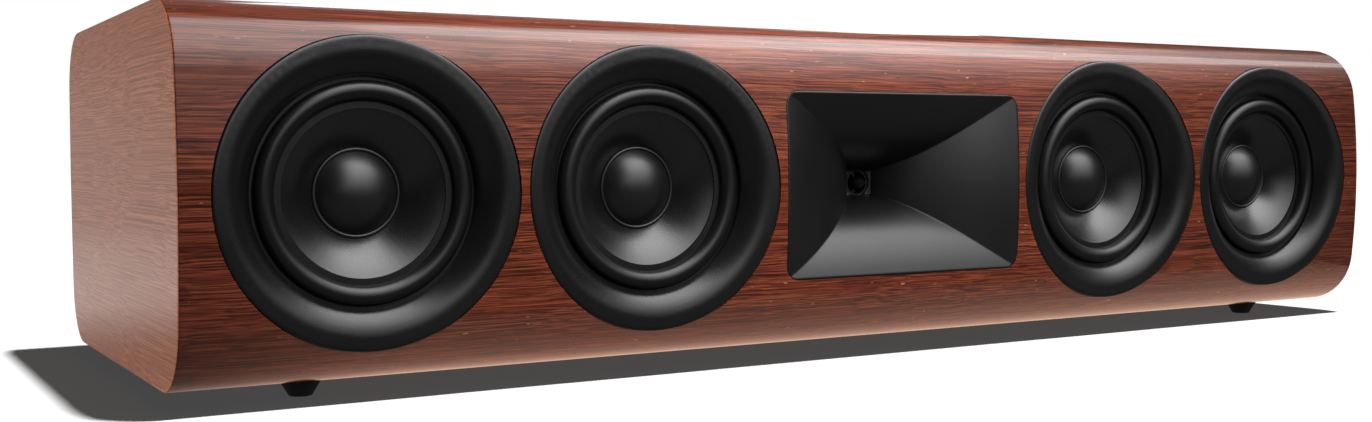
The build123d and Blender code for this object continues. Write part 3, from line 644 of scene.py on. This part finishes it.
@dataclass
class Surround:
    """Rubber half roll between a cone and its basket."""

    roll_outer: float = 57.6
    roll_inner: float = 46.8
    glue_width: float = 3.4
    seat_depth: float = 15.4
    rubber: float = 1.0
    roll_steps: int = 18
    turn_steps: int = 160

    def profile(self) -> Section:
        """Closed section of the rubber.

        Returns:
            Radius and depth of each point in millimetres, back at the first point.
        """
        seat = self.seat_depth
        land = seat - self.rubber
        middle = (self.roll_outer + self.roll_inner) / 2
        reach = (self.roll_outer - self.roll_inner) / 2
        thin = reach - self.rubber
        turns = [math.pi * i / self.roll_steps for i in range(self.roll_steps + 1)]
        crest = [(middle + reach * math.cos(a), land - reach * math.sin(a)) for a in turns]
        under = [(middle + thin * math.cos(a), seat - reach * math.sin(a)) for a in reversed(turns)]
        edge = self.roll_outer + self.glue_width
        lip = self.roll_inner - self.glue_width
        points = [(edge, seat), (edge, land), *crest, (lip, land), (lip, seat), *under]
        return [*points, points[0]]


@dataclass
class Spider:
    """Corrugated cloth disc behind a cone."""

    outer: float
    depth: float
    inner: float = 16.6
    rim: float = 4.0
    collar: float = 1.5
    waves: int = 3
    wave_height: float = 2.0
    cloth: float = 0.6
    wave_steps: int = 8
    turn_steps: int = 96

    @classmethod
    def from_cad(cls) -> "Spider":
        """Fit a spider where the CAD one sits."""
        low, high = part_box("spider_outer_left")
        return cls(outer=(high.x - low.x) / 2 / MM, depth=(high.y - FRONT_Y) / MM)

    @property
    def flat(self) -> float:
        """Radius where the flat rim ends."""
        return self.outer - self.rim

    @property
    def neck(self) -> float:
        """Radius where the collar round the voice coil begins."""
        return self.inner + self.collar

    def profile(self) -> Section:
        """Closed section of the cloth.

        Returns:
            Radius and depth of each point in millimetres, back at the first point.
        """
        count = self.waves * 2 * self.wave_steps
        crown = self.wave_height / 2
        back = [(self.outer, self.depth)]
        for i in range(count + 1):
            share = i / count
            radius = self.flat - (self.flat - self.neck) * share
            lift = crown * (1 - math.cos(2 * math.pi * self.waves * share))
            back.append((radius, self.depth - lift))
        back.append((self.inner, self.depth))
        front = [(radius, depth - self.cloth) for radius, depth in reversed(back)]
        points = [*back, *front]
        return [*points, points[0]]


@dataclass
class DustCap:
    """Domed cap inside a rounded lip, glued to the middle of a cone."""

    seat: float
    back: float
    radius: float = 23.5
    lip: float = 1.9
    lip_rise: float = 0.7
    rise: float = 9.0
    skin: float = 0.8
    dome_steps: int = 22
    lip_steps: int = 8
    turn_steps: int = 128

    @classmethod
    def from_cad(cls) -> "DustCap":
        """Fit a cap where the CAD one sits."""
        low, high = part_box("dust_cap_outer_left")
        return cls(seat=(low.y - FRONT_Y) / MM + cls.rise, back=(high.y - FRONT_Y) / MM)

    def profile(self) -> Section:
        """Section of the cap, from its middle in front round its lip to its middle behind.

        Returns:
            Radius and depth of each point in millimetres.
        """
        rim = self.radius - self.lip
        ball = (rim**2 + self.rise**2) / (2 * self.rise)
        middle = self.seat - self.rise + ball
        lean = math.asin(rim / ball)
        turns = [lean * i / self.dome_steps for i in range(self.dome_steps + 1)]
        dome = [(ball * math.sin(a), middle - ball * math.cos(a)) for a in turns]
        shell = ball - self.skin
        hollow = [(shell * math.sin(a), middle - shell * math.cos(a)) for a in reversed(turns)]
        lip = []
        for i in range(1, self.lip_steps):
            angle = math.pi * i / self.lip_steps
            radius = self.radius - self.lip * (1 + math.cos(angle)) / 2
            lip.append((radius, self.seat - self.lip_rise * math.sin(angle)))
        return [*dome, *lip, (self.radius, self.seat), (rim, self.back), *hollow]


class Lathe:
    """Turns sections about a woofer's axis, with edit-mode tools."""

    def __init__(self, place: Place) -> None:
        """Set the axis.

        Args:
            place: Woofer whose axis is used.
        """
        self.axis_x = place.value

    def point(self, radius: float, depth: float) -> Vector:
        """Point of a section, above the axis.

        Args:
            radius: Distance from the axis in millimetres.
            depth: Distance behind the middle of the front in millimetres.

        Returns:
            The point in metres.
        """
        return Vector((self.axis_x, FRONT_Y + depth * MM, CENTRE_Z + radius * MM))

    def turn(self, name: str, section: Section, steps: int) -> Piece:
        """Extrude a point round a section and spin the section.

        Args:
            name: Name of the piece.
            section: Closed section, or one that ends on the axis, as radius and depth in millimetres.
            steps: Steps round the axis.

        Returns:
            The closed piece.
        """
        points = [self.point(*place) for place in section]
        bpy.ops.object.select_all(action="DESELECT")
        bpy.ops.mesh.primitive_plane_add(size=SEED_SIZE, location=(0, 0, 0))
        piece = bpy.context.object
        piece.name = name
        piece.data.name = name
        bpy.ops.object.mode_set(mode="EDIT")
        bpy.ops.mesh.select_all(action="SELECT")
        bpy.ops.mesh.merge(type="CENTER")
        bpy.ops.transform.translate(value=points[0])
        for last, following in zip(points, points[1:]):
            step = following - last
            bpy.ops.mesh.extrude_region_move(TRANSFORM_OT_translate={"value": step})
        bpy.ops.mesh.select_all(action="SELECT")
        bpy.ops.mesh.remove_doubles(threshold=MERGE_DISTANCE)
        bpy.ops.mesh.select_all(action="SELECT")
        centre = (self.axis_x, FRONT_Y, CENTRE_Z)
        bpy.ops.mesh.spin(steps=steps, angle=math.tau, center=centre, axis=(0, 1, 0))
        bpy.ops.mesh.select_all(action="SELECT")
        bpy.ops.mesh.remove_doubles(threshold=MERGE_DISTANCE)
        bpy.ops.mesh.normals_make_consistent(inside=False)
        bpy.ops.object.mode_set(mode="OBJECT")
        bpy.ops.object.shade_smooth_by_angle(angle=SMOOTH_ANGLE)
        return piece


@dataclass
class TurnedPieces:
    """The soft rings and caps of all four woofers, each made once and copied to the other three."""

    surround: Surround
    spider: Spider
    cap: DustCap
    start: Place = Place.OUTER_LEFT

    def copy_to(self, model: Piece, place: Place, name: str) -> Piece:
        """Copy a piece to another woofer, with its own mesh.

        Args:
            model: Piece that is copied.
            place: Woofer that gets the copy.
            name: Name of the copy.

        Returns:
            The copy, its place in its mesh, or the piece itself at the woofer that it was made at.
        """
        if place is self.start:
            return model
        bpy.ops.object.select_all(action="DESELECT")
        model.select_set(True)
        bpy.context.view_layer.objects.active = model
        bpy.ops.object.duplicate(linked=False)
        piece = bpy.context.object
        piece.name = name
        piece.data.name = name
        bpy.ops.transform.translate(value=(place.value - self.start.value, 0, 0))
        bpy.ops.object.transform_apply(location=True, rotation=True, scale=True)
        return piece

    def dress(self, piece: Piece, finishes: FinishBook, slot: str, node: str) -> None:
        """Give a piece its finish and the place of a CAD node.

        Args:
            piece: Piece that is dressed.
            finishes: The speaker's finishes.
            slot: Name of the finish.
            node: Name of the CAD node that it replaces.
        """
        finishes.dress(piece, slot)
        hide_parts(node)

    def hang(self, piece: Piece, place: Place, outer: float, inner: float) -> None:
        """Bake a ring's transform into its mesh.

        Args:
            piece: Ring whose transform is baked.
            place: Not used.
            outer: Not used.
            inner: Not used.
        """
        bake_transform(piece)

    def build(self, finishes: FinishBook) -> None:
        """Make, copy, dress and hang the rings and caps.

        Args:
            finishes: The speaker's finishes.
        """
        lathe = Lathe(self.start)
        surround = self.surround
        spider = self.spider
        rubber = lathe.turn("rubber_surround_outer_left", surround.profile(), surround.turn_steps)
        cloth = lathe.turn("cloth_spider_outer_left", spider.profile(), spider.turn_steps)
        rings = (
            (rubber, "rubber", "surround", "surround_rubber", surround.roll_outer, surround.roll_inner),
            (cloth, "cloth", "spider", "spider_cloth", spider.flat, spider.neck),
        )
        for place in Place:
            for model, stuff, kind, slot, outer, inner in rings:
                piece = self.copy_to(model, place, f"{stuff}_{kind}_{place.tag}")
                self.dress(piece, finishes, slot, f"{kind}_{place.tag}")
                self.hang(piece, place, outer, inner)
                log.info("%s flexes with its cone", piece.name)
        dome = lathe.turn("domed_cap_outer_left", self.cap.profile(), self.cap.turn_steps)
        for place in Place:
            piece = self.copy_to(dome, place, f"domed_cap_{place.tag}")
            self.dress(piece, finishes, "cap_black", f"dust_cap_{place.tag}")
            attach(piece, f"cone_{place.tag}")
            log.info("%s rides on its cone", piece.name)


@dataclass(frozen=True)
class Softbox:
    """A softbox, with a face that may fade towards its left and near edges."""

    name: str
    middle: Triple
    target: Triple
    size: Pair
    radiance: float
    fade: Pair | None = None
    mirrored: bool = True
    beam: float = 180.0
    tint: Colour = WHITE

    def hang(self, receivers: bpy.types.Collection) -> None:
        """Hang the softbox, seen by everything but the camera.

        Args:
            receivers: Collection of what it lights, or of what it leaves out.
        """
        data = bpy.data.lights.new(self.name, "AREA")
        data.shape = "RECTANGLE"
        data.size, data.size_y = self.size
        data.color = self.tint
        data.spread = math.radians(self.beam)
        data.energy = self.radiance * math.pi * self.size[0] * self.size[1]
        if self.fade:
            self.soften(data)
        lamp = bpy.data.objects.new(self.name, data)
        bpy.context.scene.collection.objects.link(lamp)
        lamp.location = self.middle
        lamp.rotation_mode = "QUATERNION"
        lamp.rotation_quaternion = (Vector(self.target) - Vector(self.middle)).to_track_quat("-Z", "Y")
        lamp.visible_camera = False
        lamp.visible_glossy = self.mirrored
        lamp.light_linking.receiver_collection = receivers

    def soften(self, data: bpy.types.Light) -> None:
        """Fade the face along its width and its depth.

        Args:
            data: The lamp's data.
        """
        data.use_nodes = True
        board = NodeBoard(data.node_tree)
        face = board.axes(board.add("ShaderNodeNewGeometry").outputs["Parametric"])
        across = board.spread(face["X"], 1.0, 1.0 - self.fade[0])
        deep = board.spread(face["Y"], 0.0, self.fade[1])
        emission = board.tree.nodes["Emission"]
        board.feed(emission.inputs["Strength"], board.maths("MULTIPLY", across, deep))


@dataclass(frozen=True)
class Floor:
    """Floor that is white with a shadow to the camera, and a soft bounce to the speaker.

    Each glow is a span of Y and the levels at its two ends.
    """

    width: float = 12.0
    tone: float = 0.06
    lift: float = 0.060
    roughness: float = 0.9
    near_glow: Span = (-0.65, -0.35, 0.045, 0.11)
    rear_glow: Span = (0.1, 0.5, 0.0, 0.40)
    far_glow: Span = (0.6, 2.5, 0.0, -0.22)

    def lay(self) -> Piece:
        """Lay the floor.

        Returns:
            The floor, which is not part of the speaker.
        """
        bpy.ops.object.select_all(action="DESELECT")
        bpy.ops.mesh.primitive_plane_add(size=1.0, location=(0, 0, 0))
        sheet = bpy.context.object
        sheet.name = "floor"
        bpy.ops.transform.resize(value=(self.width, self.width, 1.0))
        bpy.ops.object.transform_apply(location=True, rotation=True, scale=True)
        sheet.data.materials.append(self.paint())
        return sheet

    def paint(self) -> bpy.types.Material:
        """Build the floor's material.

        Returns:
            The white, whose bounce differs from what the camera sees.
        """
        board = MaterialBoard("floor_white")
        board.set(Base_Color=(self.tone,) * 3, Roughness=self.roughness, Specular_IOR_Level=0.0)
        board.set(Emission_Color=WHITE, Emission_Strength=self.lift)
        depth = board.axes(board.place())["Y"]
        near = board.spread(depth, *self.near_glow)
        rear = board.spread(depth, *self.rear_glow)
        far = board.spread(depth, *self.far_glow)
        bounce = board.add("ShaderNodeEmission")
        board.feed(bounce.inputs["Strength"], board.maths("ADD", near, board.maths("ADD", rear, far)))
        path = board.add("ShaderNodeLightPath")
        share = board.add("ShaderNodeMixShader")
        board.feed(share.inputs["Fac"], path.outputs["Is Camera Ray"])
        board.feed(share.inputs[1], bounce.outputs["Emission"])
        board.feed(share.inputs[2], board.shader.outputs["BSDF"])
        board.feed(board.tree.nodes["Material Output"].inputs["Surface"], share.outputs["Shader"])
        return board.material


@dataclass(frozen=True)
class Surroundings:
    """Surroundings that are white to the camera, a dim dome to the speaker, and less dim behind it.

    Edges are spans of a direction's parts, from where the light ends to where it is full.
    """

    dome: float = 4.4
    rise: tuple[Pair, ...] = (
        (0.0, 0.0), (0.03, 0.03), (0.10, 0.09), (0.20, 0.17),
        (0.35, 0.33), (0.50, 0.52), (0.70, 0.88), (0.80, 1.0),
    )
    rear_lean: float = -0.5
    rear_edge: Pair = (0.05, -0.09)
    left_lean: float = -0.65
    left_height: float = 0.55
    left_edge: Pair = (-0.65, -0.25)
    right_edge: Pair = (0.88, 0.58)
    diffuse_edge: Pair = (1.18, 0.0)
    backdrop_depth: Pair = (0.05, 0.75)
    backdrop_side: Pair = (0.55, 0.15)
    backdrop_foot: Pair = (0.12, -0.02)
    foot_level: float = 0.16
    backdrop_level: float = 0.12
    ambient: float = 0.03

    def dome_glow(self, board: NodeBoard, way: bpy.types.NodeOutputs, path: bpy.types.NodeOutputs) -> Socket:
        """Light of the dome over the speaker, cut off behind it and at its two sides.

        Args:
            board: Board of the world.
            way: Parts of the direction.
            path: Kinds of ray.

        Returns:
            The strength, less to diffuse rays.
        """
        stops = [(height, (level,) * 3) for height, level in self.rise]
        glow = board.maths("MULTIPLY", board.ramp(way["Z"], stops), self.dome)
        low = board.maths("MINIMUM", way["Z"], self.left_height)
        left = board.maths("MULTIPLY_ADD", low, self.left_lean, way["X"])
        rear = board.maths("MULTIPLY_ADD", way["X"], self.rear_lean, way["Y"])
        for part, edge in ((rear, self.rear_edge), (left, self.left_edge), (way["X"], self.right_edge)):
            glow = board.maths("MULTIPLY", glow, board.spread(part, *edge))
        share = board.spread(path["Is Diffuse Ray"], *self.diffuse_edge, way="LINEAR")
        return board.maths("MULTIPLY", glow, share)

    def backdrop(self, board: NodeBoard, way: bpy.types.NodeOutputs, path: bpy.types.NodeOutputs) -> Socket:
        """Pale backdrop behind the speaker, as its glossy and clear surfaces see it.

        Args:
            board: Board of the world.
            way: Parts of the direction.
            path: Kinds of ray.

        Returns:
            The strength, which is the ambient one elsewhere and to other rays.
        """
        seen = board.maths("ADD", path["Is Glossy Ray"], path["Is Transmission Ray"])
        behind = board.spread(way["Y"], *self.backdrop_depth)
        leftward = board.maths("MULTIPLY", behind, board.spread(way["X"], *self.backdrop_side))
        foot = board.spread(way["Z"], *self.backdrop_foot, 0.0, self.foot_level)
        level = board.maths("ADD", foot, self.backdrop_level)
        share = board.maths("MULTIPLY", seen, leftward)
        return board.spread(share, 0.0, 1.0, self.ambient, level, way="LINEAR")

    def make(self) -> None:
        """Make the world and set it in the scene."""
        world = bpy.data.worlds.new("studio")
        world.use_nodes = True
        bpy.context.scene.world = world
        board = NodeBoard(world.node_tree)
        path = board.add("ShaderNodeLightPath").outputs
        way = board.axes(board.add("ShaderNodeTexCoord").outputs["Generated"])
        lit = board.maths("ADD", self.backdrop(board, way, path), self.dome_glow(board, way, path))
        shown = board.add("ShaderNodeMix")
        board.feed(shown.inputs["Factor"], path["Is Camera Ray"])
        board.feed(shown.inputs["A"], lit)
        board.feed(shown.inputs["B"], 1.0)
        back = board.tree.nodes["Background"]
        board.feed(back.inputs["Strength"], shown.outputs["Result"])
        board.feed(back.inputs["Color"], WHITE)


@dataclass(frozen=True)
class Viewpoint:
    """Camera where the photograph was taken from."""

    sensor: float = 36.0
    lens: float = 39.26
    clip: float = 0.02
    eye: Triple = (-0.5893, -0.8796, 0.12385)
    right: Triple = (0.85970, -0.51076, -0.00638)
    down: Triple = (-0.02448, -0.02872, -0.99929)
    ahead: Triple = (0.51021, 0.85924, -0.03720)

    def set(self) -> None:
        """Set the camera."""
        data = bpy.data.cameras.new("camera")
        data.sensor_width = self.sensor
        data.lens = self.lens
        data.clip_start = self.clip
        camera = bpy.data.objects.new("camera", data)
        bpy.context.scene.collection.objects.link(camera)
        turn = Matrix((Vector(self.right), -Vector(self.down), -Vector(self.ahead))).transposed().to_4x4()
        turn.translation = Vector(self.eye)
        camera.matrix_world = turn
        bpy.context.scene.camera = camera


@dataclass
class Studio:
    """Floor, lamps, surroundings and camera."""

    key_strength: float = 58.0
    key_angle: float = 3.0
    key_way: Triple = (-0.20, 0.14, -1.0)

    def group(self, name: str, pieces: list[Piece]) -> bpy.types.Collection:
        """Collect pieces for a lamp.

        Args:
            name: Name of the collection.
            pieces: Pieces that go in.

        Returns:
            The collection.
        """
        collection = bpy.data.collections.new(name)
        for piece in pieces:
            collection.objects.link(piece)
        return collection

    def key(self, floor: Piece) -> None:
        """Set the key light, which lights the floor alone and casts the shadow.

        Args:
            floor: The floor.
        """
        data = bpy.data.lights.new("floor_key", "SUN")
        data.energy = self.key_strength
        data.angle = math.radians(self.key_angle)
        lamp = bpy.data.objects.new("floor_key", data)
        bpy.context.scene.collection.objects.link(lamp)
        lamp.rotation_mode = "QUATERNION"
        lamp.rotation_quaternion = Vector(self.key_way).to_track_quat("-Z", "Y")
        lamp.light_linking.receiver_collection = self.group("lit_floor", [floor])

    def softboxes(self, floor: Piece, cabinet: list[Piece], horn: Piece) -> None:
        """Hang the softboxes.

        One lights the cabinet alone and one the horn alone. The others light all but the floor.

        Args:
            floor: The floor.
            cabinet: The veneered pieces, which the floor in front lights from below.
            horn: The horn, whose right wall a low lamp in front lights.
        """
        off_floor = self.group("unlit_floor", [floor])
        off_floor.collection_objects[0].light_linking.link_state = "EXCLUDE"
        boxes = [
            Softbox("overhead_softbox", middle=(2.2, -0.15, 1.8), target=(2.2, -0.15, 0.0),
                    size=(4.0, 0.36), radiance=2.4),
            Softbox("side_softbox", middle=(-2.2, 0.45, 0.58), target=(-0.4, 0.0, 0.2),
                    size=(1.5, 1.1), radiance=7.8, mirrored=False),
            Softbox("front_softbox", middle=(-0.02, -0.52, 0.66), target=(-0.02, -0.15, 0.1),
                    size=(0.55, 0.25), radiance=9.0, mirrored=False, beam=98.0),
            Softbox("rear_softbox", middle=(1.3, 2.4, 1.3), target=(0.1, 0.1, 0.1),
                    size=(1.8, 1.4), radiance=4.0),
        ]
        for box in boxes:
            box.hang(off_floor)
        bounce = Softbox("floor_bounce", middle=(0.0, -0.16, 0.002), target=(0.0, -0.16, 1.0),
                         size=(1.0, 0.20), radiance=1.05, fade=(0.22, 0.6), tint=(1.0, 0.60, 0.43))
        bounce.hang(self.group("lit_cabinet", cabinet))
        kicker = Softbox("horn_kicker", middle=(-0.15, -0.70, 0.25), target=(0.04, -0.14, 0.13),
                         size=(0.70, 0.08), radiance=2.0)
        kicker.hang(self.group("lit_horn", [horn]))

    def build(self, cabinet: list[Piece], horn: Piece) -> None:
        """Set up the whole studio.

        Args:
            cabinet: The veneered pieces.
            horn: The horn.
        """
        Surroundings().make()
        floor = Floor().lay()
        self.key(floor)
        self.softboxes(floor, cabinet, horn)
        Viewpoint().set()
        bpy.context.scene.view_settings.view_transform = "Standard"
        log.info("studio set")


def main() -> None:
    """Build the speaker's looks in order."""
    logging.basicConfig(level=logging.INFO, format="%(name)s: %(message)s")
    for start in list(bpy.data.objects):
        bpy.data.objects.remove(start)
    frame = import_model()
    nodes = frame["nodes"]
    finishes = FinishBook()
    finishes.open()
    for row in frame["record"]["subparts"]:
        finishes.dress(nodes[row["node"]], row["material_slot"])
        log.info("%s dressed in %s", row["node"], row["material_slot"])
    cabinet = Cabinet()
    cabinet.dress(nodes, finishes)
    TurnedPieces(Surround(), Spider.from_cad(), DustCap.from_cad()).build(finishes)
    Studio().build(cabinet.pieces(nodes), nodes["horn"])


if __name__ == "__main__":
    main()
